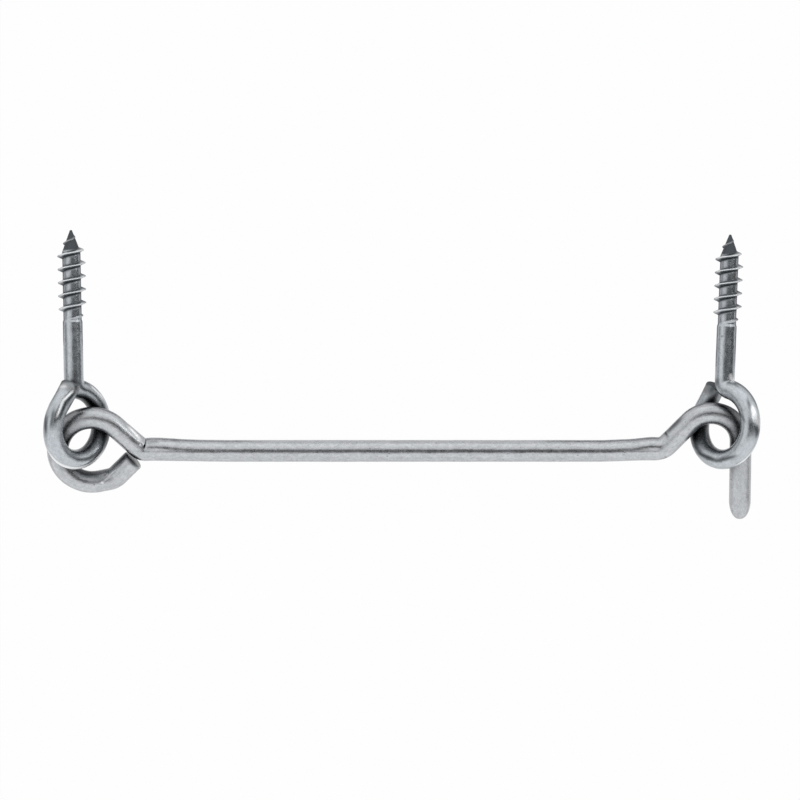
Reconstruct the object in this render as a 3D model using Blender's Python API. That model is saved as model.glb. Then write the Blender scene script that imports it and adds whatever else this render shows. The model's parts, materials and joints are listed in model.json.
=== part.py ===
"""Wire hook and eye latch: a bent hook linked to one screw eye and hooked into another.

Units are metres. +X runs along the bar from the hinge eye to the catch eye, and +Y points
towards the wood that the screws enter. +Z is the normal of the hook's flat bends, so both
turning axes are vertical. The origin is on the hinge screw's axis, at the wood's surface.
"""
import math

import bmesh
import bpy
from mathutils import Matrix, Vector

# Hook: one length of 6 mm galvanised wire, 6.2 mm over its zinc
HOOK_LENGTH = 0.200
HOOK_WIRE = 0.0062
HOOK_EYE_PLAY = 0.0076
HOOK_EYE_RISE = 0.0003
HOOK_EYE_FOOT_ANGLE = math.radians(-78.0)
HOOK_EYE_FOOT_RUN = 0.0030
HOOK_EYE_END_RADIUS = 0.0045
HOOK_EYE_END_BEND = math.radians(34.0)
HOOK_EYE_END_RUN = 0.0066
ROOT_ANGLE = math.radians(44.0)
ROOT_BEND_RADIUS = 0.0037
NECK_ANGLE = math.radians(47.0)
NECK_BEND_RADIUS = 0.0058
ARCH_PLAY = 0.0048
ARCH_RISE = 0.0031
LEG_DROP = 0.0204
LEG_DOME = 0.0032

# Screw eyes: two alike, each one length of wire with a rolled screw end, bent at slightly different places
EYE_WIRE = 0.0056
EYE_PLAY = 0.0082
EYE_NECK_RADIUS = 0.0026
EYE_END_ANGLE = math.radians(33.0)
EYE_END_RUN = 0.0070
HINGE_SHANK = 0.0162
CATCH_SHANK = 0.0149
THREAD_LENGTH = 0.0204
POINT_LENGTH = 0.0061
POINT_WIDTH = 0.0006
CORE_DIAMETER = 0.0052
RUN_OUT = 0.0012

# Each loop's mean radius leaves its play around the wire that passes through it
EYE_RADIUS = (HOOK_WIRE + EYE_PLAY + EYE_WIRE) / 2
HOOK_EYE_RADIUS = (EYE_WIRE + HOOK_EYE_PLAY + HOOK_WIRE) / 2
ARCH_RADIUS = (EYE_WIRE + ARCH_PLAY + HOOK_WIRE) / 2

# How the pieces lie together: the screws dip from the hook's plane, and each eye is turned on its screw
SCREW_DIP = math.radians(20.0)
HINGE_LEAN = math.radians(1.1)
HINGE_TURN = math.radians(43.0)
HINGE_END_SIDE = 0.0040
CATCH_LEAN = math.radians(-2.2)
CATCH_TURN = math.radians(-41.0)
CATCH_END_SIDE = -0.0038
HOOK_EYE_SET = Vector((0.0048, -0.0073, -0.0035))
CATCH_EYE_SET = Vector((0.0032, 0.0047, 0.0039))

# The catch eye comes off round an axis left of the arch and below it
UNHOOK_AXIS_SET = Vector((-0.0094, -0.0092, 0.0))

# How finely the round shapes are divided
WIRE_SIDES = 24
ARC_STEP = math.radians(7.5)
END_STEPS = 6
DOME_ANGLES = [math.radians(angle) for angle in (0.0, 15.0, 30.0, 45.0, 60.0, 75.0)]
SHARP_ANGLE = math.radians(40.0)
EDGE_BREAK = 0.0004


def arc_points(centre, radius, start, sweep):
    """Points along an arc in a plane, without its first point."""
    count = max(2, math.ceil(abs(sweep) / ARC_STEP))
    angles = [start + sweep * step / count for step in range(1, count + 1)]
    return [Vector((centre.x + radius * math.cos(a), centre.y + radius * math.sin(a))) for a in angles]


class BentWire:
    """A centreline in a plane, built as a wire is bent: straight runs and bends, one after another."""

    def __init__(self, start, heading):
        self.points = [Vector(start)]
        self.heading = heading

    def run(self, length):
        step = Vector((math.cos(self.heading), math.sin(self.heading))) * length
        self.points.append(self.points[-1] + step)

    def bend(self, radius, angle):
        side = math.copysign(math.pi / 2, angle)
        centre = self.points[-1] + radius * Vector((math.cos(self.heading + side), math.sin(self.heading + side)))
        self.points += arc_points(centre, radius, self.heading - side, angle)
        self.heading += angle


def hook_centreline():
    """The hook's wire in its own plane: x along the bar from the eye's far side, y = 0 on the bar's axis."""
    wire_radius = HOOK_WIRE / 2
    eye_centre = Vector((HOOK_EYE_RADIUS + wire_radius, HOOK_EYE_RISE))
    leg_x = HOOK_LENGTH - wire_radius
    arch_centre = Vector((leg_x - ARCH_RADIUS, ARCH_RISE))

    # The eye's closing end leaves the circle at its foot and is bent up towards the root
    foot = eye_centre + HOOK_EYE_RADIUS * Vector((math.cos(HOOK_EYE_FOOT_ANGLE), math.sin(HOOK_EYE_FOOT_ANGLE)))
    end = BentWire(foot, HOOK_EYE_FOOT_ANGLE + math.pi / 2)
    end.run(HOOK_EYE_FOOT_RUN)
    end.bend(HOOK_EYE_END_RADIUS, HOOK_EYE_END_BEND)
    end.run(HOOK_EYE_END_RUN)

    wire = BentWire(foot, HOOK_EYE_FOOT_ANGLE - math.pi / 2)
    wire.points = end.points[::-1]
    around = 2 * math.pi + HOOK_EYE_FOOT_ANGLE - (math.pi / 2 - ROOT_ANGLE)
    wire.bend(HOOK_EYE_RADIUS, -around)

    root_setback = ROOT_BEND_RADIUS * math.tan(ROOT_ANGLE / 2)
    wire.run(wire.points[-1].y / math.sin(ROOT_ANGLE) - root_setback)
    wire.bend(ROOT_BEND_RADIUS, ROOT_ANGLE)

    neck_start = arch_centre + ARCH_RADIUS * Vector((-math.sin(NECK_ANGLE), math.cos(NECK_ANGLE)))
    neck_setback = NECK_BEND_RADIUS * math.tan(NECK_ANGLE / 2)
    neck_corner = neck_start.x - neck_start.y / math.tan(NECK_ANGLE)
    wire.run(neck_corner - neck_setback - wire.points[-1].x)
    wire.bend(NECK_BEND_RADIUS, NECK_ANGLE)
    wire.run(neck_start.y / math.sin(NECK_ANGLE) - neck_setback)
    wire.bend(ARCH_RADIUS, -(math.pi / 2 + NECK_ANGLE))
    wire.run(ARCH_RISE + LEG_DROP)
    return wire.points, eye_centre, arch_centre


def eye_centreline(shank_length, end_side):
    """A screw eye's wire: y runs up the screw from the ring's centre, and z is the closing end's sideways set."""
    neck_height = math.sqrt(EYE_RADIUS ** 2 + 2 * EYE_RADIUS * EYE_NECK_RADIUS)
    neck_angle = math.atan2(neck_height, EYE_NECK_RADIUS)
    wire = BentWire((0.0, neck_height + shank_length), -math.pi / 2)
    wire.run(shank_length)
    wire.bend(EYE_NECK_RADIUS, neck_angle)
    wire.bend(EYE_RADIUS, -(neck_angle + math.pi / 2))
    foot = len(wire.points)
    wire.bend(EYE_RADIUS, -(math.pi / 2 + EYE_END_ANGLE))
    for _ in range(END_STEPS):
        wire.run(EYE_END_RUN / END_STEPS)
    points = []
    for index, point in enumerate(wire.points):
        share = max(0.0, (index - foot) / (len(wire.points) - 1 - foot))
        points.append(Vector((point.x, point.y, end_side * share ** 2 * (3 - 2 * share))))
    return points, neck_height + shank_length


def sweep(name, points, radii, material):
    """A solid round wire along the points, mitred at each, with flat ends."""
    count = len(points)
    steps = [(points[i + 1] - points[i]).normalized() for i in range(count - 1)]
    tangents = [steps[0]] + [(steps[i - 1] + steps[i]).normalized() for i in range(1, count - 1)] + [steps[-1]]
    side = tangents[0].orthogonal().normalized()
    mesh = bmesh.new()
    rings = []
    for index in range(count):
        if index:
            side = tangents[index - 1].rotation_difference(tangents[index]) @ side
            side = (side - side.dot(tangents[index]) * tangents[index]).normalized()
        across = tangents[index].cross(side)
        ring = []
        for number in range(WIRE_SIDES):
            angle = 2 * math.pi * number / WIRE_SIDES
            offset = radii[index] * (math.cos(angle) * side + math.sin(angle) * across)
            ring.append(mesh.verts.new(points[index] + offset))
        rings.append(ring)
    mesh.faces.new(list(reversed(rings[0])))
    for first, second in zip(rings, rings[1:]):
        for number in range(WIRE_SIDES):
            following = (number + 1) % WIRE_SIDES
            mesh.faces.new((first[number], first[following], second[following], second[number]))
    mesh.faces.new(rings[-1])
    data = bpy.data.meshes.new(name)
    mesh.to_mesh(data)
    mesh.free()
    data.shade_smooth()
    data.set_sharp_from_angle(angle=SHARP_ANGLE)
    data.materials.append(material)
    obj = bpy.data.objects.new(name, data)
    bpy.context.collection.objects.link(obj)
    return obj


def break_edge(points, radii):
    """Ends the wire in a narrow chamfer: the last station moves back and a smaller one closes it."""
    direction = (points[-1] - points[-2]).normalized()
    return points[:-1] + [points[-1] - EDGE_BREAK * direction, points[-1]], radii + [radii[-1] - EDGE_BREAK]


def dome_end(points, radii, height):
    """Rounds the last part of the wire to half an ellipse with a small flat."""
    direction = (points[-1] - points[-2]).normalized()
    base = points[-1] - height * direction
    rounded = [base + height * math.sin(a) / math.sin(DOME_ANGLES[-1]) * direction for a in DOME_ANGLES]
    return points[:-1] + rounded, radii[:-1] + [radii[-1] * math.cos(a) for a in DOME_ANGLES]


def steel(name, colour, roughness):
    """Zinc-plated steel."""
    material = bpy.data.materials.new(name)
    material.use_nodes = True
    shader = material.node_tree.nodes["Principled BSDF"]
    shader.inputs["Base Color"].default_value = (*colour, 1.0)
    shader.inputs["Metallic"].default_value = 1.0
    shader.inputs["Roughness"].default_value = roughness
    return material


def make_hook(eye_place):
    """The hook bar, with its origin on its eye's axis."""
    flat, eye_centre, _ = hook_centreline()
    points = [Vector((p.x - eye_centre.x, p.y - eye_centre.y, 0.0)) for p in flat]
    radii = [HOOK_WIRE / 2] * len(points)
    points, radii = dome_end(points, radii, LEG_DOME)
    points, radii = break_edge(list(reversed(points)), list(reversed(radii)))
    hook = sweep("hook_bar", points, radii, steel("hook_steel", (0.50, 0.53, 0.56), 0.30))
    hook.location = eye_place
    return hook


def make_eye(name, ring_place, lay, turn, shank_length, end_side, material):
    """A screw eye with its origin at its ring's centre."""
    points, shank_top = eye_centreline(shank_length, end_side)
    thread_top = shank_top + THREAD_LENGTH
    screw_heights = (thread_top + POINT_LENGTH, thread_top, shank_top + RUN_OUT)
    screw = [Vector((0.0, height, 0.0)) for height in screw_heights]
    screw_radii = [POINT_WIDTH / 2, CORE_DIAMETER / 2, CORE_DIAMETER / 2]
    points, radii = break_edge(screw + points, screw_radii + [EYE_WIRE / 2] * len(points))
    eye = sweep(name, points, radii, material)
    eye.matrix_world = Matrix.Translation(ring_place) @ lay @ Matrix.Rotation(turn, 4, "Y")
    return eye


for old in list(bpy.data.objects):
    bpy.data.objects.remove(old, do_unlink=True)

eye_steel = steel("eye_steel", (0.47, 0.50, 0.53), 0.26)
dip = Matrix.Rotation(-SCREW_DIP, 4, "X")

# The hinge eye's screw meets the wood at the origin
hinge_lay = dip @ Matrix.Rotation(HINGE_LEAN, 4, "Z")
_, hinge_shank_top = eye_centreline(HINGE_SHANK, HINGE_END_SIDE)
hinge_ring = hinge_lay @ Vector((0.0, -hinge_shank_top, 0.0))
hinge_eye = make_eye("hinge_screw_eye", hinge_ring, hinge_lay, HINGE_TURN, HINGE_SHANK, HINGE_END_SIDE, eye_steel)

# The hook's eye is linked through the hinge eye's ring
hook_eye_place = hinge_ring + dip @ HOOK_EYE_SET
hook_bar = make_hook(hook_eye_place)

# The catch eye hangs in the hook's arch
_, hook_eye_centre, arch_centre = hook_centreline()
arch_offset = arch_centre - hook_eye_centre
arch_place = hook_eye_place + Vector((arch_offset.x, arch_offset.y, 0.0))
catch_lay = dip @ Matrix.Rotation(CATCH_LEAN, 4, "Z")
catch_ring = arch_place + dip @ CATCH_EYE_SET
catch_eye = make_eye("catch_screw_eye", catch_ring, catch_lay, CATCH_TURN, CATCH_SHANK, CATCH_END_SIDE, eye_steel)
unhook_axis = bpy.data.objects.new("unhook_axis", None)
unhook_axis.empty_display_size = 0.01
unhook_axis.location = arch_place + UNHOOK_AXIS_SET
bpy.context.collection.objects.link(unhook_axis)
catch_eye.parent = unhook_axis
catch_eye.matrix_parent_inverse = Matrix.Translation(-unhook_axis.location)
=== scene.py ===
"""Looks for a wire hook and eye latch: the bent hook, its two screw eyes and the studio round them."""

import json
import math

import bmesh
import bpy
from mathutils import Matrix, Vector, noise


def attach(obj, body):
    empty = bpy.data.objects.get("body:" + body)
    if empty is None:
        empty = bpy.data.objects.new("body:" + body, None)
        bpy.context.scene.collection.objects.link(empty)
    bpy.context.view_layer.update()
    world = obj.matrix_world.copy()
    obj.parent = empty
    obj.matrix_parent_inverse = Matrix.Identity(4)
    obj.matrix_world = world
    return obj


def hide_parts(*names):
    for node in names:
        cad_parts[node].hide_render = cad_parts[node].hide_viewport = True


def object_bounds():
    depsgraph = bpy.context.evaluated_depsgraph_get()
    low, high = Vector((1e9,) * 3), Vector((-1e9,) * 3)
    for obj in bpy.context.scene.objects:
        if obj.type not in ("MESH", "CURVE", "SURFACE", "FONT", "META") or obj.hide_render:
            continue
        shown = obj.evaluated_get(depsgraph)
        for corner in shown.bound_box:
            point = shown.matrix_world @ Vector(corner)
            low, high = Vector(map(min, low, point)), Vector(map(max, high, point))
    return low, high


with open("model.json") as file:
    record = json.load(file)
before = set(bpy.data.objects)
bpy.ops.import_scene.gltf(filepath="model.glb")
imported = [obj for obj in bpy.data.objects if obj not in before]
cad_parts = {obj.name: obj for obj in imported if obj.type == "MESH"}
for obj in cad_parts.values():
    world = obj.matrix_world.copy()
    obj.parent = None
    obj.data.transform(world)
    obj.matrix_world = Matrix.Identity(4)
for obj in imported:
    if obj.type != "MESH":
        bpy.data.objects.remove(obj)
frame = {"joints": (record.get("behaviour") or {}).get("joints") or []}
cad_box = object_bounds()

# The hook is one length of 6 mm steel wire, bent cold and zinc plated. Its closed eye is linked to the
# hinge eye on the left. On the right the wire rises over an arch and drops in a plain leg with a domed tip.
HOOK_LENGTH = 0.200
HOOK_WIRE = 0.0062
HOOK_EYE_RADIUS = 0.0097
HOOK_EYE_RISE = 0.0003
HOOK_EYE_FOOT_ANGLE = math.radians(-78.0)
HOOK_EYE_FOOT_RUN = 0.0030
HOOK_EYE_END_RADIUS = 0.0045
HOOK_EYE_END_BEND = math.radians(34.0)
HOOK_EYE_END_RUN = 0.0066
ROOT_ANGLE = math.radians(44.0)
ROOT_BEND_RADIUS = 0.0037
NECK_ANGLE = math.radians(47.0)
NECK_BEND_RADIUS = 0.0058
ARCH_RADIUS = 0.0083
ARCH_RISE = 0.0031
LEG_DROP = 0.0204
LEG_DOME = 0.0056
LEG_TIP_FLAT = 0.0005
SHEAR_ROUND = 0.0006
HOOK_STEP = 0.0005
WIRE_SIDES = 80
GRAIN_ROUND = HOOK_WIRE / 2
END_CLEAR = 0.0001
SAME_PLACE = 1e-7


def wire_route(start, heading, moves, step):
    """Centre points of a wire bent in a plane. A move is a straight length, or a radius and an angle."""
    points = [Vector(start)]
    for move in moves:
        first = points[-1]
        if len(move) == 1:
            count = max(1, math.ceil(move[0] / step))
            along = Vector((math.cos(heading), math.sin(heading))) * move[0]
            points += [first + along * number / count for number in range(1, count + 1)]
            continue
        radius, angle = move
        count = max(2, math.ceil(radius * abs(angle) / step))
        side = math.copysign(math.pi / 2, angle)
        centre = first + radius * Vector((math.cos(heading + side), math.sin(heading + side)))
        turns = [heading - side + angle * number / count for number in range(1, count + 1)]
        points += [centre + radius * Vector((math.cos(turn), math.sin(turn))) for turn in turns]
        heading += angle
    return points


def wire_end(points, radius, depth, flat):
    """Stations that round a wire off, from its full radius to a flat, and then close the flat."""
    direction = (points[-1] - points[-2]).normalized()
    base = points[-1] - depth * direction
    kept = [
        (point, radius) for point in points
        if (point - base).dot(direction) < -END_CLEAR or (point - base).length > 3 * depth
    ]
    turns = [math.radians(degrees) for degrees in range(0, 91, 9)]
    rounded = [
        (base + depth * math.sin(turn) * direction, flat + (radius - flat) * math.cos(turn))
        for turn in turns
    ]
    face = [(points[-1], flat * share) for share in (0.75, 0.5, 0.25, 0.04)]
    return kept, rounded + face


def wire_piece(name, stations, facing, surface):
    """A wire swept along its stations, which are places and radii.

    Angles run round it from the facing side. At each of its points, surface gives the reach from the
    centre line, its painted highlight, how cut the wire is, and how dark it is there from stains and
    painted shade.
    """
    places = [place for place, _ in stations]
    last = len(places) - 1
    mesh = bmesh.new()
    way = mesh.verts.layers.float_vector.new("wire_way")
    painted_highlight = mesh.verts.layers.float.new("painted_highlight")
    cut = mesh.verts.layers.float.new("cut")
    shade_and_stain = mesh.verts.layers.float.new("shade_and_stain")
    rings = []
    distance = 0.0
    for index, (place, radius) in enumerate(stations):
        ahead = places[min(index + 1, last)] - places[max(index - 1, 0)]
        if ahead.length < SAME_PLACE:
            # The stations that close a flat end share one place, so the direction comes from further off
            ahead = places[min(index + 6, last)] - places[max(index - 6, 0)]
        tangent = ahead.normalized()
        side = (facing - facing.dot(tangent) * tangent).normalized()
        across = tangent.cross(side)
        if index:
            distance += (place - places[index - 1]).length
        ring = []
        for number in range(WIRE_SIDES):
            angle = 2 * math.pi * number / WIRE_SIDES
            outward = math.cos(angle) * side + math.sin(angle) * across
            reach, bright, bare, dark = surface(distance, angle, radius, place, outward)
            vert = mesh.verts.new(place + reach * outward)
            vert[way] = Vector((math.cos(angle) * GRAIN_ROUND, math.sin(angle) * GRAIN_ROUND, distance))
            vert[painted_highlight] = bright
            vert[cut] = bare
            vert[shade_and_stain] = dark
            ring.append(vert)
        rings.append(ring)
    mesh.faces.new(list(reversed(rings[0])))
    for first, second in zip(rings, rings[1:]):
        for number in range(WIRE_SIDES):
            following = (number + 1) % WIRE_SIDES
            mesh.faces.new((first[number], first[following], second[following], second[number]))
    mesh.faces.new(rings[-1])
    data = bpy.data.meshes.new(name)
    mesh.to_mesh(data)
    mesh.free()
    data.shade_smooth()
    piece = bpy.data.objects.new(name, data)
    bpy.context.scene.collection.objects.link(piece)
    return piece


def smooth_share(value, low, high):
    """0 below low, 1 above high, and a smooth rise between."""
    share = min(1.0, max(0.0, (value - low) / (high - low)))
    return share * share * (3 - 2 * share)


NOISE_LOW = 0.3
NOISE_HIGH = 0.7
CREVICE_SHADE_DISTANCE = 0.009
SPECK_COLOUR = (0.10, 0.105, 0.115, 1.0)
SHADE_AND_SOIL_COLOUR = (0.022, 0.027, 0.032, 1.0)
HIGHLIGHT_COLOUR = (0.90, 0.91, 0.92, 1.0)


def zinc_group():
    """Shader group: a plated wire's colour, roughness and height, with its streaks and specks, painted
    shade in its crevices, and its painted highlights and dark marks.
    """
    group = bpy.data.node_groups.new("zinc_plating", "ShaderNodeTree")
    inputs = (
        ("Tone", "NodeSocketColor", (0.5, 0.5, 0.5, 1.0)),
        ("Bare tone", "NodeSocketColor", (0.3, 0.3, 0.3, 1.0)),
        ("Satin", "NodeSocketFloat", 0.3),
        ("Mottle", "NodeSocketFloat", 0.1),
        ("Specks", "NodeSocketFloat", 0.5),
    )
    for label, kind, value in inputs:
        socket = group.interface.new_socket(label, in_out="INPUT", socket_type=kind)
        socket.default_value = value
    outputs = (
        ("Color", "NodeSocketColor"),
        ("Roughness", "NodeSocketFloat"),
        ("Height", "NodeSocketFloat"),
    )
    for label, kind in outputs:
        group.interface.new_socket(label, in_out="OUTPUT", socket_type=kind)
    nodes, links = group.nodes, group.links
    entry, leave = nodes.new("NodeGroupInput"), nodes.new("NodeGroupOutput")

    def attribute(label):
        node = nodes.new("ShaderNodeAttribute")
        node.attribute_name = label
        return node

    def pattern(scale, detail, rough):
        """Noise over the wire's own coordinates: round it twice, then along it."""
        stretch = nodes.new("ShaderNodeVectorMath")
        stretch.operation = "MULTIPLY"
        stretch.inputs[1].default_value = scale
        links.new(wire_way.outputs["Vector"], stretch.inputs[0])
        texture = nodes.new("ShaderNodeTexNoise")
        texture.inputs["Scale"].default_value = 1.0
        texture.inputs["Detail"].default_value = detail
        texture.inputs["Roughness"].default_value = rough
        links.new(stretch.outputs[0], texture.inputs["Vector"])
        return texture.outputs["Fac"]

    def spread(source, low, high, to_low, to_high):
        """Stretches a value's range to another."""
        node = nodes.new("ShaderNodeMapRange")
        node.inputs["From Min"].default_value = low
        node.inputs["From Max"].default_value = high
        node.inputs["To Min"].default_value = to_low
        node.inputs["To Max"].default_value = to_high
        links.new(source, node.inputs["Value"])
        return node.outputs["Result"]

    def sums(operation, first, second):
        node = nodes.new("ShaderNodeMath")
        node.operation = operation
        for slot, source in enumerate((first, second)):
            if isinstance(source, float):
                node.inputs[slot].default_value = source
            else:
                links.new(source, node.inputs[slot])
        return node.outputs[0]

    def scaled(colour, factor):
        node = nodes.new("ShaderNodeVectorMath")
        node.operation = "SCALE"
        links.new(colour, node.inputs[0])
        links.new(factor, node.inputs["Scale"])
        return node.outputs[0]

    def blend(share, first, second):
        """A colour that goes from the first to the second. Inputs 6 and 7 are the node's two colours."""
        node = nodes.new("ShaderNodeMix")
        node.data_type = "RGBA"
        for slot, source in (("Factor", share), (6, first), (7, second)):
            if isinstance(source, tuple):
                node.inputs[slot].default_value = source
            else:
                links.new(source, node.inputs[slot])
        return node.outputs[2]

    wire_way = attribute("wire_way")
    painted_highlight, cut, shade_and_stain = (attribute(label).outputs["Fac"] for label in ("painted_highlight", "cut", "shade_and_stain"))
    mottling = pattern((520.0, 520.0, 380.0), 6.0, 0.68)
    blotches = pattern((1500.0, 1500.0, 1100.0), 3.0, 0.6)
    streaks = pattern((2400.0, 2400.0, 110.0), 3.0, 0.55)
    grain = pattern((3800.0, 3800.0, 3200.0), 4.0, 0.7)
    spots = spread(pattern((760.0, 760.0, 640.0), 2.0, 0.5), 0.70, 0.76, 0.0, 1.0)
    spots = sums("MULTIPLY", spots, entry.outputs["Specks"])
    shade = sums("MULTIPLY", sums("SUBTRACT", mottling, 0.5), entry.outputs["Mottle"])
    for texture, swing in ((streaks, 0.03), (grain, 0.10), (blotches, 0.13)):
        shade = sums("ADD", shade, spread(texture, NOISE_LOW, NOISE_HIGH, -swing, swing))
    shade = sums("ADD", shade, 1.0)
    # Painted shade: the colour darkens where ambient occlusion finds wire close by, in crevices, inside
    # loops and between parts
    crevice = nodes.new("ShaderNodeAmbientOcclusion")
    crevice.samples = 8
    crevice.inputs["Distance"].default_value = CREVICE_SHADE_DISTANCE
    crevice_shade = spread(crevice.outputs["AO"], 0.38, 0.92, 0.10, 1.0)
    colour = scaled(scaled(entry.outputs["Tone"], shade), crevice_shade)
    colour = blend(sums("MULTIPLY", spots, 0.6), colour, SPECK_COLOUR)
    colour = blend(cut, colour, entry.outputs["Bare tone"])
    # Dark marks: partly stains, smudges and tool marks, partly painted shade and painted dark reflections
    colour = blend(sums("MULTIPLY", shade_and_stain, 0.95), colour, SHADE_AND_SOIL_COLOUR)
    # Painted highlights: the colour goes near white where the marks stand for glints and bright rims
    colour = blend(painted_highlight, colour, HIGHLIGHT_COLOUR)
    links.new(colour, leave.inputs["Color"])
    rough = sums("ADD", entry.outputs["Satin"], spread(mottling, NOISE_LOW, NOISE_HIGH, -0.05, 0.06))
    rough = sums("ADD", rough, spread(grain, NOISE_LOW, NOISE_HIGH, -0.03, 0.04))
    for mark, added in ((painted_highlight, 0.22), (spots, 0.25), (cut, 0.12)):
        rough = sums("ADD", rough, sums("MULTIPLY", mark, added))
    links.new(rough, leave.inputs["Roughness"])
    height = sums("ADD", sums("MULTIPLY", mottling, 0.9), sums("MULTIPLY", streaks, 0.25))
    height = sums("ADD", height, sums("MULTIPLY", grain, 0.18))
    for mark, depth in ((spots, 0.35), (painted_highlight, 3.0), (shade_and_stain, 0.8)):
        height = sums("SUBTRACT", height, sums("MULTIPLY", mark, depth))
    links.new(height, leave.inputs["Height"])
    return group


zinc_plating = zinc_group()


def zinc_steel(name, tone, bare_tone, satin, mottle, specks, relief):
    """Zinc-plated steel wire, with its own tone, finish and depth of surface relief in metres."""
    material = bpy.data.materials.new(name)
    material.use_nodes = True
    nodes, links = material.node_tree.nodes, material.node_tree.links
    shader = nodes["Principled BSDF"]
    shader.inputs["Metallic"].default_value = 1.0
    plating = nodes.new("ShaderNodeGroup")
    plating.node_tree = zinc_plating
    plating.inputs["Tone"].default_value = (*tone, 1.0)
    plating.inputs["Bare tone"].default_value = (*bare_tone, 1.0)
    plating.inputs["Satin"].default_value = satin
    plating.inputs["Mottle"].default_value = mottle
    plating.inputs["Specks"].default_value = specks
    bump = nodes.new("ShaderNodeBump")
    bump.inputs["Strength"].default_value = 1.0
    bump.inputs["Distance"].default_value = relief
    links.new(plating.outputs["Height"], bump.inputs["Height"])
    links.new(plating.outputs["Color"], shader.inputs["Base Color"])
    links.new(plating.outputs["Roughness"], shader.inputs["Roughness"])
    links.new(bump.outputs["Normal"], shader.inputs["Normal"])
    return material


UNEVEN_BESIDE = 0.003
UNEVEN_BROAD = 260.0
UNEVEN_FINE = 620.0


def waviness(place, outward, amount):
    """The slight unevenness of bent and plated wire, which differs from side to side."""
    beside = place + UNEVEN_BESIDE * outward
    return amount * (noise.noise(beside * UNEVEN_BROAD) + 0.5 * noise.noise(beside * UNEVEN_FINE))


def hump(offset, width):
    """1 in the middle, and fading away on both sides over the given width."""
    return math.exp(-(offset / width) ** 2)


VIEW_TILT = math.radians(20.0)
to_camera = Vector((0.0, math.sin(VIEW_TILT), math.cos(VIEW_TILT)))
picture_up = Vector((0.0, math.cos(VIEW_TILT), -math.sin(VIEW_TILT)))


def face_marks(marks, place, outward):
    """How strongly a point of the front side lies in a list of marks.

    A mark is a soft streak: its middle across and up, its turn in degrees, its half length and half width
    in millimetres, and its strength.
    """
    across, up = place.x * 1000, place.dot(picture_up) * 1000
    total = 0.0
    for middle_across, middle_up, turn, half_length, half_width, strength in marks:
        offset_across, offset_up = across - middle_across, up - middle_up
        cosine, sine = math.cos(math.radians(turn)), math.sin(math.radians(turn))
        along = (offset_across * cosine + offset_up * sine) / half_length
        beside = (offset_up * cosine - offset_across * sine) / half_width
        total += strength * math.exp(-along ** 4 - beside ** 2)
    return min(1.0, total) * smooth_share(outward.dot(to_camera), -0.1, 0.15)


hook_joint = next(joint for joint in frame["joints"] if joint["name"] == "hook_swing")
hook_place = Vector(hook_joint["pos_m"])
hook_radius = HOOK_WIRE / 2
hook_eye_centre = Vector((HOOK_EYE_RADIUS + hook_radius, HOOK_EYE_RISE))
arch_centre = Vector((HOOK_LENGTH - hook_radius - ARCH_RADIUS, ARCH_RISE))
foot_side = Vector((math.cos(HOOK_EYE_FOOT_ANGLE), math.sin(HOOK_EYE_FOOT_ANGLE)))
eye_foot = hook_eye_centre + HOOK_EYE_RADIUS * foot_side
eye_around = 2 * math.pi + HOOK_EYE_FOOT_ANGLE - (math.pi / 2 - ROOT_ANGLE)
root_from = hook_eye_centre + HOOK_EYE_RADIUS * Vector((math.sin(ROOT_ANGLE), math.cos(ROOT_ANGLE)))
root_setback = ROOT_BEND_RADIUS * math.tan(ROOT_ANGLE / 2)
root_run = root_from.y / math.sin(ROOT_ANGLE) - root_setback
neck_from = arch_centre + ARCH_RADIUS * Vector((-math.sin(NECK_ANGLE), math.cos(NECK_ANGLE)))
neck_setback = NECK_BEND_RADIUS * math.tan(NECK_ANGLE / 2)
bar_from = root_from.x + (root_from.y / math.tan(ROOT_ANGLE)) + root_setback
bar_to = neck_from.x - neck_from.y / math.tan(NECK_ANGLE) - neck_setback
end_moves = [(HOOK_EYE_FOOT_RUN,), (HOOK_EYE_END_RADIUS, HOOK_EYE_END_BEND), (HOOK_EYE_END_RUN,)]
hook_moves = [
    (HOOK_EYE_RADIUS, -eye_around),
    (root_run,),
    (ROOT_BEND_RADIUS, ROOT_ANGLE),
    (bar_to - bar_from,),
    (NECK_BEND_RADIUS, NECK_ANGLE),
    (neck_from.y / math.sin(NECK_ANGLE) - neck_setback,),
    (ARCH_RADIUS, -(math.pi / 2 + NECK_ANGLE)),
    (ARCH_RISE + LEG_DROP,),
]
end_flat = wire_route(eye_foot, HOOK_EYE_FOOT_ANGLE + math.pi / 2, end_moves, HOOK_STEP)
body_flat = wire_route(eye_foot, HOOK_EYE_FOOT_ANGLE - math.pi / 2, hook_moves, HOOK_STEP)

# The bar bows up a little beside its root and before its neck. The places along the hook where a bow
# starts, is full, starts to fade and is gone are followed by its height.
BAR_BOWS = [
    (0.0262, 0.0290, 0.0290, 0.0540, 0.0003),
    (0.1560, 0.1700, 0.1715, 0.1765, 0.0004),
]
BOWED_BELOW = 0.008

for point in body_flat:
    if point.y < BOWED_BELOW:
        point.y += sum(
            height * smooth_share(point.x, start, full) * (1 - smooth_share(point.x, fading, gone))
            for start, full, fading, gone, height in BAR_BOWS
        )
hook_points = [
    hook_place + Vector((point.x - hook_eye_centre.x, point.y - hook_eye_centre.y, 0.0))
    for point in end_flat[:0:-1] + body_flat
]
leg_kept, leg_tip = wire_end(hook_points, hook_radius, LEG_DOME, LEG_TIP_FLAT)
flipped = [place for place, _ in reversed(leg_kept)]
body_stations, eye_tip = wire_end(flipped, hook_radius, SHEAR_ROUND, hook_radius - SHEAR_ROUND)
hook_stations = list(reversed(eye_tip)) + list(reversed(body_stations)) + leg_tip

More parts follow.
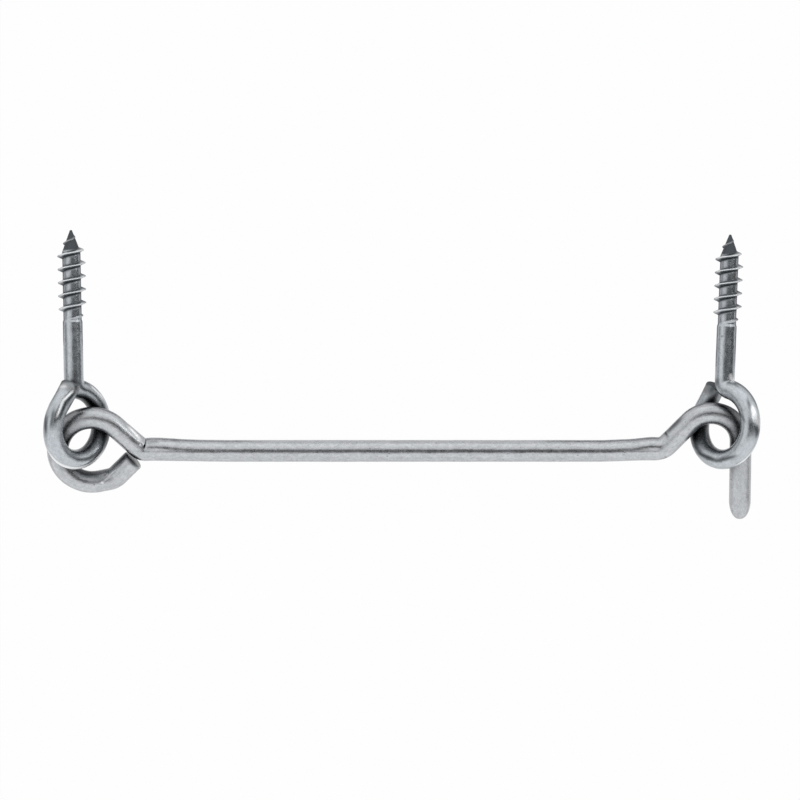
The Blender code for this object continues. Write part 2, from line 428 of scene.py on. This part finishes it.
# The former pinches the inner sides of two bends: it leaves a crease and a swelling at the root, and a
# swelling before the neck. They are placed along each bend from its corner. The eye's closing end passes
# close to the root, within the first 30 mm of the wire, and is left as it is.
CREASE_WIDTH = 0.00055
CREASE_DEPTH = 0.0007
ROOT_SWELL = 0.00042
ROOT_SWELL_AT = 0.0030
ROOT_SWELL_WIDTH = 0.0060
ROOT_PINCH = 0.014
PAST_CLOSING_END = 0.03
NECK_SWELL = 0.0005
NECK_SWELL_AT = -0.0020
NECK_SWELL_WIDTH = 0.0034
NECK_PINCH = 0.012
HOOK_UNEVEN = 0.00003
ROOT_CORNER = hook_place + Vector((bar_from - root_setback - hook_eye_centre.x, -hook_eye_centre.y, 0.0))
ROOT_ALONG = Vector((math.cos(ROOT_ANGLE / 2), -math.sin(ROOT_ANGLE / 2), 0.0))
NECK_CORNER = hook_place + Vector((bar_to + neck_setback - hook_eye_centre.x, -hook_eye_centre.y, 0.0))
NECK_ALONG = Vector((math.cos(NECK_ANGLE / 2), math.sin(NECK_ANGLE / 2), 0.0))

# Marks on the front side: the bright ones are painted highlights and glints; the dark ones are partly tool
# marks and partly painted shade, with a long painted dark reflection along the bar.
HOOK_BRIGHT = [
    (17.3, -31.0, -48.0, 2.4, 0.42, 0.95),
    (19.2, -34.3, 70.0, 0.3, 0.24, 0.8),
    (19.4, -40.0, 60.0, 1.3, 0.22, 0.6),
    (10.1, -43.4, 42.0, 2.8, 0.22, 0.35),
    (8.1, -45.2, 0.0, 0.3, 0.3, 0.8),
]
HOOK_DARK = [
    (16.4, -38.8, -43.0, 2.0, 0.5, 0.9),
    (189.3, -48.5, 90.0, 8.0, 3.0, 0.10),
    (5.2, -43.2, -8.0, 5.0, 1.25, 0.6),
    (12.6, -39.6, 40.0, 3.2, 0.7, 0.55),
    (170.5, -28.9, 45.0, 3.4, 0.6, 0.8),
    (168.3, -31.5, -65.0, 1.1, 0.32, 0.75),
    (48.6, -31.1, -35.0, 0.7, 0.3, 0.8),
    (22.6, -33.9, 8.0, 1.6, 0.5, 0.4),
    (29.0, -33.2, -10.0, 1.2, 0.3, 0.35),
    (92.0, -36.15, 0.0, 71.0, 0.30, 0.40),
]


def hook_surface(distance, angle, radius, place, outward):
    """The hook's reach from its centre line at a point, its painted highlight, how cut it is, and how dark
    it is there from tool marks and painted shade.
    """
    bare = 1.0 - smooth_share(distance, SHEAR_ROUND, 2 * SHEAR_ROUND)
    reach = radius + waviness(place, outward, HOOK_UNEVEN) * radius / hook_radius
    # Dark marks are partly tool marks and partly painted shade and painted reflection; bright marks are
    # painted highlights
    dark = face_marks(HOOK_DARK, place + reach * outward, outward)
    bright = face_marks(HOOK_BRIGHT, place + reach * outward, outward)
    root = (place - ROOT_CORNER).dot(ROOT_ALONG)
    if abs(root) < ROOT_PINCH and distance > PAST_CLOSING_END:
        inner = smooth_share(outward.y, 0.15, 0.75)
        crease = hump(root, CREASE_WIDTH) * inner
        swell = ROOT_SWELL * hump(root - ROOT_SWELL_AT, ROOT_SWELL_WIDTH)
        reach += inner * swell - CREASE_DEPTH * crease
        # Painted shade darkens the root's crease
        dark = max(dark, crease)
    neck = (place - NECK_CORNER).dot(NECK_ALONG)
    if abs(neck) < NECK_PINCH:
        inner = smooth_share(outward.y, 0.2, 0.8)
        reach += inner * NECK_SWELL * hump(neck - NECK_SWELL_AT, NECK_SWELL_WIDTH)
    return reach, bright, bare, min(1.0, dark)


HOOK_TONE = (0.425, 0.437, 0.455)
HOOK_BARE_TONE = (0.28, 0.29, 0.30)
HOOK_RELIEF = 0.00009

hook_zinc = zinc_steel(
    "hook_zinc", HOOK_TONE, HOOK_BARE_TONE, satin=0.27, mottle=0.5, specks=0.8, relief=HOOK_RELIEF,
)
hook = wire_piece("hook_wire", hook_stations, Vector((0.0, 0.0, 1.0)), hook_surface)
hook.data.materials.append(hook_zinc)
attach(hook, "hook")
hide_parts("hook_bar")

# The two screw eyes are alike: 5.6 mm steel wire bent into an open ring past a set-over neck, with a
# right-hand wood thread rolled on the other end. Both are zinc plated, and smoother than the hook.
EYE_WIRE = 0.0056
EYE_RADIUS = 0.0100
EYE_NECK_RADIUS = 0.0026
EYE_STEP = 0.00045
THREAD_LENGTH = 0.0204
POINT_LENGTH = 0.0061
POINT_RADIUS = 0.0003
CORE_RADIUS = 0.0026
RUN_OUT = 0.0012
THREAD_PITCH = 0.00376
THREAD_HEIGHT = 0.00138
THREAD_ROOT = 0.00072
THREAD_CREST = 0.00009
THREAD_STEP = 0.00009
THREAD_STARTS = 0.0008
THREAD_FULL = 0.0046
POINT_FADE = 1.6
POINT_SOIL = 0.95
FLANK_HOLLOW = 1.25
CREST_HIGHLIGHT = 0.55
CREST_HIGHLIGHT_FULL = 0.00008
CREST_HIGHLIGHT_GONE = 0.00044
GROOVE_BELOW = 0.00072
GROOVE_BELOW_WIDTH = 0.00036
GROOVE_ABOVE = 0.00062
GROOVE_ABOVE_WIDTH = 0.00018
GROOVE_ABOVE_SHADE = 0.6
EYE_UNEVEN = 0.000025
SCREW_UNEVEN = 0.8
BARE_FROM = 0.0034
BARE_FULL = 0.0028
FACE_FROM = 0.0009
FACE_FULL = 0.0004
FACE_SOIL = 0.6
RIM_STARTS = 0.0045
RIM_FULL = 0.0080
RIM_FADE = 0.0030
RIM_HIGHLIGHT = 0.85
SCREW_DIP = math.radians(20.0)

eye_radius = EYE_WIRE / 2
neck_height = math.sqrt(EYE_RADIUS ** 2 + 2 * EYE_RADIUS * EYE_NECK_RADIUS)
neck_angle = math.atan2(neck_height, EYE_NECK_RADIUS)
screw_length = THREAD_LENGTH + POINT_LENGTH
dip = Matrix.Rotation(-SCREW_DIP, 4, "X")


def screw_reach(height, angle, first_crest):
    """The screw's reach at a height over the shank, its painted highlight along the crests, and how dark it
    is there: a darker point and painted shade in the thread grooves.
    """
    if height > THREAD_LENGTH:
        share = min(1.0, (height - THREAD_LENGTH) / POINT_LENGTH)
        core = CORE_RADIUS + (POINT_RADIUS - CORE_RADIUS) * share
        crest = THREAD_HEIGHT * (1 - share) ** POINT_FADE
        dark = POINT_SOIL * smooth_share(share, 0.0, 0.12)
    else:
        wider = 1 - smooth_share(height, 0.3 * RUN_OUT, RUN_OUT)
        core = CORE_RADIUS + (eye_radius - CORE_RADIUS) * wider
        crest = THREAD_HEIGHT * smooth_share(height, THREAD_STARTS, THREAD_FULL)
        dark = 0.0
    rise = height - first_crest - THREAD_PITCH * angle / (2 * math.pi)
    offset = (rise + THREAD_PITCH / 2) % THREAD_PITCH - THREAD_PITCH / 2
    gap = abs(offset)
    full = crest / THREAD_HEIGHT
    root = THREAD_ROOT * (0.35 + 0.65 * full)
    share = min(1.0, max(0.0, (root - gap) / (root - THREAD_CREST)))
    # Painted highlight along the thread crests
    bright = CREST_HIGHLIGHT * min(1.0, 1.3 * full) * (1 - smooth_share(gap, CREST_HIGHLIGHT_FULL, CREST_HIGHLIGHT_GONE))
    # Painted shade in the thread grooves, stronger below each crest than above it
    groove = hump(offset + GROOVE_BELOW, GROOVE_BELOW_WIDTH)
    groove += GROOVE_ABOVE_SHADE * hump(offset - GROOVE_ABOVE, GROOVE_ABOVE_WIDTH)
    dark = max(dark * (1 - bright), min(1.0, 1.5 * full) * groove)
    return core + crest * share ** FLANK_HOLLOW, bright, dark


def eye_stations(shank_length, end_angle, end_run, end_side):
    """An eye's stations from the screw's point to the closing end, round its ring's centre."""
    shank_top = neck_height + shank_length
    moves = [
        (shank_length,),
        (EYE_NECK_RADIUS, neck_angle),
        (EYE_RADIUS, -(neck_angle + math.pi / 2)),
    ]
    foot = len(wire_route((0.0, shank_top), -math.pi / 2, moves, EYE_STEP)) - 1
    moves += [(EYE_RADIUS, -(math.pi / 2 + end_angle)), (end_run,)]
    flat = wire_route((0.0, shank_top), -math.pi / 2, moves, EYE_STEP)
    wire = [
        Vector((point.x, point.y, end_side * smooth_share(index, foot, len(flat) - 1)))
        for index, point in enumerate(flat)
    ]
    kept, tip = wire_end(wire, eye_radius, SHEAR_ROUND, eye_radius - SHEAR_ROUND)
    count = math.ceil(screw_length / THREAD_STEP)
    heights = [screw_length * (count - number) / count for number in range(count)]
    screw = [(Vector((0.0, shank_top + height, 0.0)), eye_radius) for height in heights]
    return screw + kept + tip


def make_eye(name, bends, ring_place, lay, turn, first_crest, rim_from, bright_marks, dark_marks):
    """A screw eye of the given bends, its ring's centre at a place, turned on its own screw.

    Its ring has a painted highlight along its lower rim, which starts at a distance across from the ring's
    centre.
    """
    turned = lay @ Matrix.Rotation(turn, 4, "Y")
    stations = [(ring_place + turned @ place, radius) for place, radius in eye_stations(*bends)]
    whole = sum((after - before).length for (before, _), (after, _) in zip(stations, stations[1:]))
    turned_crest = first_crest + THREAD_PITCH * turn / (2 * math.pi)

    def surface(distance, angle, radius, place, outward):
        height = screw_length - distance
        uneven = waviness(place, outward, EYE_UNEVEN) * radius / eye_radius
        if height > 0:
            # The wire is swept down the screw, so angles run the other way round it
            reach, bright, dark = screw_reach(height, -angle, turned_crest)
            return reach + SCREW_UNEVEN * uneven, bright, 0.0, dark
        bare = smooth_share(distance, whole - BARE_FROM, whole - BARE_FULL)
        face = FACE_SOIL * smooth_share(distance, whole - FACE_FROM, whole - FACE_FULL)
        reach = radius + uneven
        # Painted highlight along the ring's lower rim, standing in for the light it mirrors from below
        rim = smooth_share((ring_place - place).dot(picture_up), RIM_STARTS, RIM_FULL)
        rim *= smooth_share(place.x - ring_place.x, rim_from, rim_from + RIM_FADE)
        rim *= smooth_share(-outward.dot(picture_up), 0.2, 0.5)
        rim *= smooth_share(-outward.dot(to_camera), -0.60, -0.45)
        bright = max(RIM_HIGHLIGHT * rim, face_marks(bright_marks, place + reach * outward, outward))
        # Dark marks: partly smudges, partly painted shade and painted dark reflections beside the
        # highlights
        dark = max(face, face_marks(dark_marks, place + reach * outward, outward))
        return reach, bright, bare, dark

    return wire_piece(name, stations, (turned @ Vector((0.0, 0.0, 1.0))).normalized(), surface)


EYE_TONE = (0.405, 0.432, 0.457)
EYE_BARE_TONE = (0.26, 0.27, 0.28)
EYE_RELIEF = 0.00007

eye_zinc = zinc_steel(
    "eye_zinc", EYE_TONE, EYE_BARE_TONE, satin=0.25, mottle=0.45, specks=0.8, relief=EYE_RELIEF,
)

# The hinge eye is the plated wire screw eye on the left, driven in at the origin. Its ring carries the
# hook's eye, and its closing end lies over the neck. All of its lower rim carries the painted highlight.
# Its bright marks are painted highlights, and its dark marks partly smudges and partly painted shade and
# painted dark reflections.
HINGE_LEAN = math.radians(1.1)
HINGE_TURN = math.radians(43.0)
HINGE_SHANK = 0.0162
HINGE_END_ANGLE = math.radians(33.0)
HINGE_END_RUN = 0.0070
HINGE_END_SIDE = 0.0040
HINGE_RIM_FROM = -0.0200
HINGE_FIRST_CREST = 0.0050

HINGE_BRIGHT = [
    (-0.9, -20.2, 45.0, 1.9, 0.32, 1.0),
    (-3.3, -24.0, 70.0, 2.8, 0.36, 1.0),
    (-2.5, -17.9, 10.0, 1.2, 0.5, 0.6),
    (6.7, -19.3, -46.0, 2.9, 0.32, 1.0),
]
HINGE_DARK = [
    (-0.2, -20.8, 48.0, 1.8, 0.24, 0.9),
    (-2.4, -24.4, 68.0, 2.6, 0.24, 0.9),
    (-7.4, -27.6, 90.0, 3.0, 0.5, 0.85),
    (-5.4, -26.8, 80.0, 2.9, 0.5, 0.75),
    (3.8, -21.7, -40.0, 2.6, 1.1, 0.6),
    (-1.6, -17.6, -20.0, 0.5, 0.3, 0.6),
    (-1.7, -16.4, -10.0, 1.8, 0.25, 0.7),
    (0.9, -17.6, -62.0, 1.8, 0.28, 0.7),
]

hinge_lay = dip @ Matrix.Rotation(HINGE_LEAN, 4, "Z")
hinge_ring = hinge_lay @ Vector((0.0, -neck_height - HINGE_SHANK, 0.0))
hinge_bends = (HINGE_SHANK, HINGE_END_ANGLE, HINGE_END_RUN, HINGE_END_SIDE)
hinge_eye = make_eye(
    "hinge_eye_wire", hinge_bends, hinge_ring, hinge_lay, HINGE_TURN,
    HINGE_FIRST_CREST, HINGE_RIM_FROM, HINGE_BRIGHT, HINGE_DARK,
)
hinge_eye.data.materials.append(eye_zinc)
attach(hinge_eye, "hinge_eye")
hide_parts("hinge_screw_eye")

# The catch eye is the same plated wire piece on the right, turned the other way on its screw, so its
# closing end lies behind the neck. The hook's arch drops into its ring, whose lower rim carries the painted
# highlight only on the right. Its bright marks are painted highlights, and its dark marks partly painted
# shade and partly smudges.
CATCH_LEAN = math.radians(-2.2)
CATCH_TURN = math.radians(-41.0)
CATCH_SHANK = 0.0149
CATCH_END_ANGLE = math.radians(28.0)
CATCH_END_RUN = 0.0070
CATCH_END_SIDE = -0.0030
CATCH_RIM_FROM = 0.0015
CATCH_FIRST_CREST = 0.0053
CATCH_EYE_SET = Vector((0.0032, 0.0047, 0.0039))

CATCH_BRIGHT = [
    (193.2, -26.3, -72.0, 2.8, 0.8, 1.0),
    (186.8, -15.6, -60.0, 1.3, 0.7, 1.0),
]
CATCH_DARK = [
    (194.0, -30.6, 85.0, 1.3, 0.7, 0.7),
    (191.6, -23.8, -78.0, 2.7, 0.4, 0.7),
    (181.7, -17.8, 62.0, 2.4, 1.0, 0.8),
    (188.4, -24.6, -60.0, 3.8, 0.32, 0.7),
    (179.6, -37.7, -23.0, 3.2, 0.5, 0.85),
    (185.2, -38.2, 15.0, 3.0, 0.55, 0.85),
    (176.6, -35.0, -50.0, 2.2, 0.5, 0.6),
    (186.9, -16.9, -8.0, 1.6, 0.22, 0.8),
]

arch_offset = arch_centre - hook_eye_centre
arch_place = hook_place + Vector((arch_offset.x, arch_offset.y, 0.0))
catch_lay = dip @ Matrix.Rotation(CATCH_LEAN, 4, "Z")
catch_ring = arch_place + dip @ CATCH_EYE_SET
catch_bends = (CATCH_SHANK, CATCH_END_ANGLE, CATCH_END_RUN, CATCH_END_SIDE)
catch_eye = make_eye(
    "catch_eye_wire", catch_bends, catch_ring, catch_lay, CATCH_TURN,
    CATCH_FIRST_CREST, CATCH_RIM_FROM, CATCH_BRIGHT, CATCH_DARK,
)
catch_eye.data.materials.append(eye_zinc)
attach(catch_eye, "catch_eye")
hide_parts("catch_screw_eye")

# The studio: a white world, a pale floor well below the part, and two soft lamps. The walls and two grey
# cards are only seen mirrored in the metal.
FLOOR_BELOW = 0.12
FLOOR_SIZE = 6.0
FLOOR_WHITE_SHARE = 0.98
VIEW_CENTRE_ACROSS = 0.0928
VIEW_CENTRE_UP = -0.02166
VIEW_WIDTH = 0.2271
VIEW_CENTRE_DEPTH = -0.0035
VIEW_DISTANCE = 2.8
SENSOR_WIDTH = 36.0

picture_right = Vector((1.0, 0.0, 0.0))
view_centre = VIEW_CENTRE_ACROSS * picture_right + VIEW_CENTRE_UP * picture_up
view_centre += VIEW_CENTRE_DEPTH * to_camera


def seen_share(nodes, links):
    """1 for what the camera sees, directly or in the metal, and 0 for what only lights the part."""
    path = nodes.new("ShaderNodeLightPath")
    share = path.outputs["Is Camera Ray"]
    for label in ("Is Glossy Ray", "Is Transmission Ray"):
        largest = nodes.new("ShaderNodeMath")
        largest.operation = "MAXIMUM"
        links.new(share, largest.inputs[0])
        links.new(path.outputs[label], largest.inputs[1])
        share = largest.outputs[0]
    return share


world = bpy.data.worlds.new("studio")
bpy.context.scene.world = world
world.use_nodes = True
world_nodes, world_links = world.node_tree.nodes, world.node_tree.links
world_nodes.clear()
ambient = world_nodes.new("ShaderNodeBackground")
ambient.inputs["Color"].default_value = (0.95, 0.97, 1.0, 1.0)
ambient.inputs["Strength"].default_value = 0.55
seen_white = world_nodes.new("ShaderNodeBackground")
seen_white.inputs["Color"].default_value = (1.0, 1.0, 1.0, 1.0)
seen_white.inputs["Strength"].default_value = 1.0
choose = world_nodes.new("ShaderNodeMixShader")
world_out = world_nodes.new("ShaderNodeOutputWorld")
world_links.new(seen_share(world_nodes, world_links), choose.inputs["Fac"])
world_links.new(ambient.outputs[0], choose.inputs[1])
world_links.new(seen_white.outputs[0], choose.inputs[2])
world_links.new(choose.outputs[0], world_out.inputs["Surface"])

floor_mesh = bpy.data.meshes.new("floor")
floor_shape = bmesh.new()
bmesh.ops.create_grid(floor_shape, x_segments=1, y_segments=1, size=FLOOR_SIZE / 2)
floor_shape.to_mesh(floor_mesh)
floor_shape.free()
floor = bpy.data.objects.new("floor", floor_mesh)
floor.location = (VIEW_CENTRE_ACROSS, 0.0, cad_box[0][2] - FLOOR_BELOW)
bpy.context.scene.collection.objects.link(floor)
floor_paint = bpy.data.materials.new("floor_paint")
floor_paint.use_nodes = True
floor_nodes, floor_links = floor_paint.node_tree.nodes, floor_paint.node_tree.links
floor_nodes.clear()
floor_matte = floor_nodes.new("ShaderNodeBsdfDiffuse")
floor_matte.inputs["Color"].default_value = (0.88, 0.88, 0.88, 1.0)
floor_white = floor_nodes.new("ShaderNodeEmission")
floor_white.inputs["Color"].default_value = (1.0, 1.0, 1.0, 1.0)
floor_white.inputs["Strength"].default_value = 1.0
floor_mix = floor_nodes.new("ShaderNodeMixShader")
floor_out = floor_nodes.new("ShaderNodeOutputMaterial")
floor_share = floor_nodes.new("ShaderNodeMath")
floor_share.operation = "MULTIPLY"
floor_share.inputs[1].default_value = FLOOR_WHITE_SHARE
floor_links.new(seen_share(floor_nodes, floor_links), floor_share.inputs[0])
floor_links.new(floor_share.outputs[0], floor_mix.inputs["Fac"])
floor_links.new(floor_matte.outputs[0], floor_mix.inputs[1])
floor_links.new(floor_white.outputs[0], floor_mix.inputs[2])
floor_links.new(floor_mix.outputs[0], floor_out.inputs["Surface"])
floor.data.materials.append(floor_paint)


def aim(thing, place, target):
    """Puts a lamp or the camera at a place, its -Z to the target and its Y near the picture's up."""
    back = (place - target).normalized()
    right = picture_up.cross(back).normalized()
    up = back.cross(right)
    turned = Matrix((right, up, back)).transposed().to_4x4()
    thing.matrix_world = Matrix.Translation(place) @ turned
    bpy.context.scene.collection.objects.link(thing)


def studio_place(right_degrees, up_degrees, distance):
    """A place round the part, from the camera's own direction: degrees to the right of it, then up."""
    right, up = math.radians(right_degrees), math.radians(up_degrees)
    level = math.cos(right) * to_camera + math.sin(right) * picture_right
    return view_centre + distance * (math.cos(up) * level + math.sin(up) * picture_up)


def soft_lamp(name, place, width, height, glow, colour):
    """A soft box whose face glows at the given level, where 1 is as bright as the white world."""
    light = bpy.data.lights.new(name, "AREA")
    light.shape = "RECTANGLE"
    light.size, light.size_y = width, height
    light.energy = glow * math.pi * width * height
    light.color = colour
    aim(bpy.data.objects.new(name, light), place, view_centre)


def blend_table(table, value):
    """A smooth value read from rows of (place, value)."""
    for (low, first), (high, second) in zip(table, table[1:]):
        if value <= high:
            return first + (second - first) * smooth_share(value, low, high)
    return table[-1][1]


# What the metal mirrors of the room: its dark band level with the camera, by degrees from left to right,
# and its pale walls below and above, by degrees up. 1 is the white wall, and more is a soft box.
ROOM_LEVEL = [
    (-180.0, 0.70), (-140.0, 0.62), (-104.0, 0.36), (-88.0, 0.46), (-76.0, 0.75), (-64.0, 1.25),
    (-42.0, 1.25), (-22.0, 0.85), (-9.0, 0.18), (3.0, 0.05), (20.0, 0.12), (48.0, 0.14),
    (73.0, 0.08), (106.0, 0.20), (130.0, 0.45), (180.0, 0.70),
]
ROOM_HEIGHT = [
    (-90.0, 1.12), (-58.0, 1.28), (-35.0, 1.30), (-18.0, 1.14), (14.0, 1.10),
    (27.0, 1.20), (48.0, 1.34), (72.0, 1.52), (90.0, 1.65),
]
GLINT_RIGHT = 55.0
GLINT_UP = 20.0
GLINT_SPREAD = 7.5
GLINT_LEVEL = 3.2
BAND_LOW = -18.0
BAND_HIGH = 12.0
BAND_SOFT = 9.0
ROOM_DISTANCE = 0.8
ROOM_STEP = 2.5
CARD_TOP = 0.034
CARD_BEHIND = 0.03
CARD_TONE = 0.34


def room_tone(right, up):
    """The room's tone in a direction: pale walls, a dark band at the camera's level, and a small light."""
    level = blend_table(ROOM_LEVEL, right)
    inside = smooth_share(up, BAND_LOW - BAND_SOFT, BAND_LOW + BAND_SOFT)
    inside *= 1 - smooth_share(up, BAND_HIGH - BAND_SOFT, BAND_HIGH + BAND_SOFT)
    pale = blend_table(ROOM_HEIGHT, up)
    off = math.hypot((right - GLINT_RIGHT) * math.cos(math.radians(up)), up - GLINT_UP) / GLINT_SPREAD
    return pale + (level - pale) * inside + GLINT_LEVEL * (1 - smooth_share(off, 0.6, 1.2))


def mirrored_only(name, shape):
    """A glowing shape that is seen only in the metal, and its nodes, links and glow."""
    data = bpy.data.meshes.new(name)
    shape.to_mesh(data)
    shape.free()
    thing = bpy.data.objects.new(name, data)
    bpy.context.scene.collection.objects.link(thing)
    paint = bpy.data.materials.new(name + "_paint")
    paint.use_nodes = True
    nodes, links = paint.node_tree.nodes, paint.node_tree.links
    nodes.clear()
    glow = nodes.new("ShaderNodeEmission")
    surface = nodes.new("ShaderNodeOutputMaterial")
    links.new(glow.outputs[0], surface.inputs["Surface"])
    data.materials.append(paint)
    for ray in ("camera", "diffuse", "transmission", "volume_scatter", "shadow"):
        setattr(thing, "visible_" + ray, False)
    return nodes, links, glow


def room_shell():
    """The studio's walls as the metal mirrors them, drawn on a dome in front of the floor."""
    shape = bmesh.new()
    tones = shape.verts.layers.float.new("tone")
    half_round, quarter = int(180 / ROOM_STEP), int(90 / ROOM_STEP)
    rows = []
    for up in range(-quarter, quarter + 1):
        row = []
        for right in range(-half_round, half_round):
            vert = shape.verts.new(studio_place(right * ROOM_STEP, up * ROOM_STEP, ROOM_DISTANCE))
            vert[tones] = room_tone(right * ROOM_STEP, up * ROOM_STEP)
            row.append(vert)
        rows.append(row)
    for first, second in zip(rows, rows[1:]):
        for number in range(len(first)):
            following = (number + 1) % len(first)
            shape.faces.new((first[number], first[following], second[following], second[number]))
    nodes, links, glow = mirrored_only("room", shape)
    tone = nodes.new("ShaderNodeAttribute")
    tone.attribute_name = "tone"
    links.new(tone.outputs["Color"], glow.inputs["Color"])


def back_card(name, across_from, across_to, up_from, up_to):
    """A flat grey card just behind a screw, which keeps the sides of its shank dark."""
    shape = bmesh.new()
    corners = ((across_from, up_from), (across_to, up_from), (across_to, up_to), (across_from, up_to))
    shape.faces.new([
        shape.verts.new(across * picture_right + up * picture_up - CARD_BEHIND * to_camera)
        for across, up in corners
    ])
    _, _, glow = mirrored_only(name, shape)
    glow.inputs["Color"].default_value = (CARD_TONE, CARD_TONE, 1.05 * CARD_TONE, 1.0)


room_shell()
back_card("card_hinge_screw", across_from=-0.06, across_to=0.05, up_from=-0.006, up_to=CARD_TOP)
back_card("card_catch_screw", across_from=0.135, across_to=0.245, up_from=-0.012, up_to=CARD_TOP)
lamp_above = studio_place(0.0, 75.0, distance=1.2)
lamp_below = studio_place(0.0, -60.0, distance=1.3)
soft_lamp("lamp_top", lamp_above, width=1.8, height=1.1, glow=0.10, colour=(1.0, 0.99, 0.97))
soft_lamp("lamp_low", lamp_below, width=1.4, height=0.8, glow=0.06, colour=(0.97, 0.98, 1.0))

lens = bpy.data.cameras.new("camera")
lens.sensor_width = SENSOR_WIDTH
lens.lens = SENSOR_WIDTH * VIEW_DISTANCE / VIEW_WIDTH
lens.clip_end = 20.0
camera = bpy.data.objects.new("camera", lens)
aim(camera, view_centre + VIEW_DISTANCE * to_camera, view_centre)
bpy.context.scene.camera = camera

bpy.context.scene.view_settings.view_transform = "Standard"
